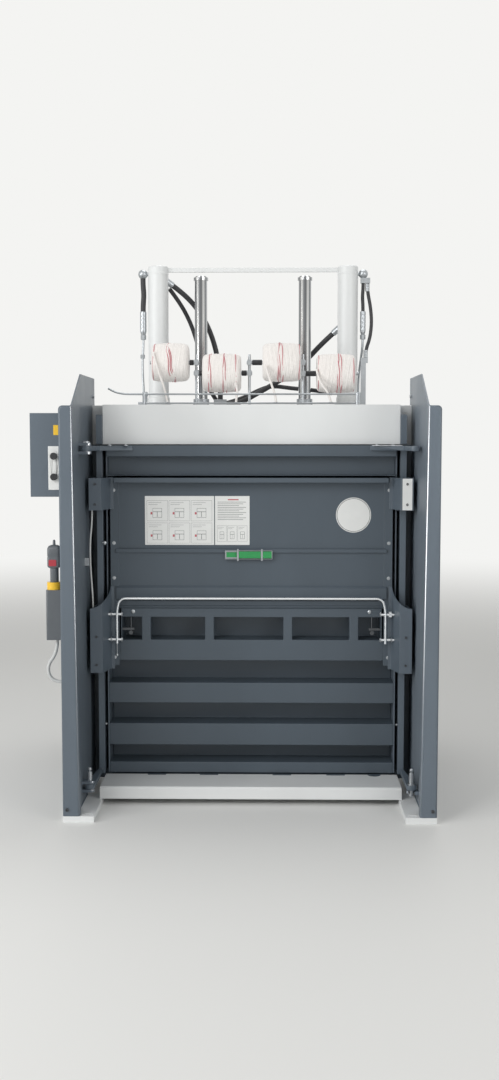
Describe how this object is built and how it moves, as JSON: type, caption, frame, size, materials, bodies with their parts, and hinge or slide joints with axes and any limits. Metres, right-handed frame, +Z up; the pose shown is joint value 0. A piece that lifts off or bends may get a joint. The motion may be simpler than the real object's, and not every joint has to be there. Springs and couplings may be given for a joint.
{
  "type": "recycling baler",
  "caption": "Upright hydraulic baler with a low press frame, two cylinders, a sliding loading flap, a swinging bale door and twine rolls on top.",
  "frame": {"origin": "on the floor, at the centre of the four anchor slots in the feet", "axes": "+X to the right seen from the front, +Y from the front to the back, +Z up"},
  "size_m": [1.632, 1.596, 2.335],
  "materials": {
    "slate_paint": "satin powder coat",
    "light_grey_paint": "satin powder coat",
    "chrome_plate": "polished",
    "zinc_steel": "bright zinc",
    "dark_steel": "oiled",
    "hose_rubber": "matt",
    "white_plastic": "satin",
    "black_plastic": "matt",
    "grey_plastic": "satin",
    "yellow_plastic": "satin",
    "green_plastic": "satin",
    "twine_fibre": "matt fibre",
    "sheet_paper": "satin",
    "grey_lead": "matt"
  },
  "bodies": {
    "frame": {"foot_plates": "light_grey_paint", "side_column_left": "slate_paint", "side_column_right": "slate_paint", "sill": "light_grey_paint", "chamber_floor": "slate_paint", "chamber_wall_right": "slate_paint", "chamber_wall_left": "slate_paint", "chamber_wall_back": "slate_paint", "head_box": "light_grey_paint", "head_brackets": "slate_paint", "cylinder_left": "light_grey_paint", "cylinder_right": "light_grey_paint", "cylinder_tie_bar": "light_grey_paint", "guide_bushes": "zinc_steel", "hinge_pins": "zinc_steel", "twine_rack": "zinc_steel", "hose_left": "hose_rubber", "hose_right": "hose_rubber", "hose_supply": "hose_rubber", "hose_return": "hose_rubber", "pipe_left": "zinc_steel", "pipe_right": "zinc_steel", "hose_fittings": "zinc_steel", "control_cabinet": "slate_paint", "button_panel": "white_plastic", "power_inlet": "grey_plastic", "inlet_collar": "yellow_plastic", "inlet_plug": "grey_plastic", "power_lead": "grey_lead", "oil_tank": "slate_paint", "pump_motor": "slate_paint", "valve_block": "zinc_steel"},
    "platen": {"press_plate": "slate_paint", "piston_rod_left": "chrome_plate", "piston_rod_right": "chrome_plate", "guide_rod_left": "chrome_plate", "guide_rod_right": "chrome_plate"},
    "gate": {"bale_door": "slate_paint", "gate_top_rail": "slate_paint", "gate_post_left": "slate_paint", "gate_post_right": "slate_paint", "gate_straps": "slate_paint", "door_latches": "dark_steel"},
    "lock": {"lock_pin": "zinc_steel"},
    "flap": {"flap_panel": "slate_paint", "flap_slide_left": "slate_paint", "flap_slide_right": "slate_paint", "bail_pins": "zinc_steel", "bail_handle": "zinc_steel", "instruction_sheets": "sheet_paper", "round_disc": "white_plastic", "knife_holder": "zinc_steel", "twine_knife": "green_plastic", "flap_cable": "grey_lead"},
    "roll_1": {"twine_roll_1": "twine_fibre"},
    "roll_2": {"twine_roll_2": "twine_fibre"},
    "roll_3": {"twine_roll_3": "twine_fibre"},
    "roll_4": {"twine_roll_4": "twine_fibre"},
    "start": {"start_button": "black_plastic"},
    "stop": {"stop_button": "black_plastic"}
  },
  "joints": [
    {"name": "press_slide", "type": "slide", "parent": "frame", "child": "platen", "axis": [0, 0, -1], "range_m": [0, 0.54]},
    {"name": "gate_swing", "type": "hinge", "parent": "frame", "child": "gate", "pos_m": [-0.668, -0.528, 0.8], "axis": [0, 0, -1], "range_deg": [0, 165]},
    {"name": "lock_pin_lift", "type": "slide", "parent": "gate", "child": "lock", "axis": [0, 0, 1], "range_m": [0, 0.03]},
    {"name": "flap_slide", "type": "slide", "parent": "gate", "child": "flap", "axis": [0, 0, -1], "range_m": [0, 0.43]},
    {"name": "roll_1_turn", "type": "hinge", "parent": "frame", "child": "roll_1", "pos_m": [-0.355, -0.118, 1.87], "axis": [1, 0, 0], "continuous": true},
    {"name": "roll_2_turn", "type": "hinge", "parent": "frame", "child": "roll_2", "pos_m": [-0.1305, -0.118, 1.824], "axis": [1, 0, 0], "continuous": true},
    {"name": "roll_3_turn", "type": "hinge", "parent": "frame", "child": "roll_3", "pos_m": [0.131, -0.118, 1.87], "axis": [1, 0, 0], "continuous": true},
    {"name": "roll_4_turn", "type": "hinge", "parent": "frame", "child": "roll_4", "pos_m": [0.368, -0.118, 1.822], "axis": [1, 0, 0], "continuous": true},
    {"name": "start_press", "type": "slide", "parent": "frame", "child": "start", "axis": [0, 1, 0], "range_m": [0, 0.005], "stiffness_N_per_m": 600, "springref_m": -0.003},
    {"name": "stop_press", "type": "slide", "parent": "frame", "child": "stop", "axis": [0, 1, 0], "range_m": [0, 0.005], "stiffness_N_per_m": 600, "springref_m": -0.003}
  ]
}
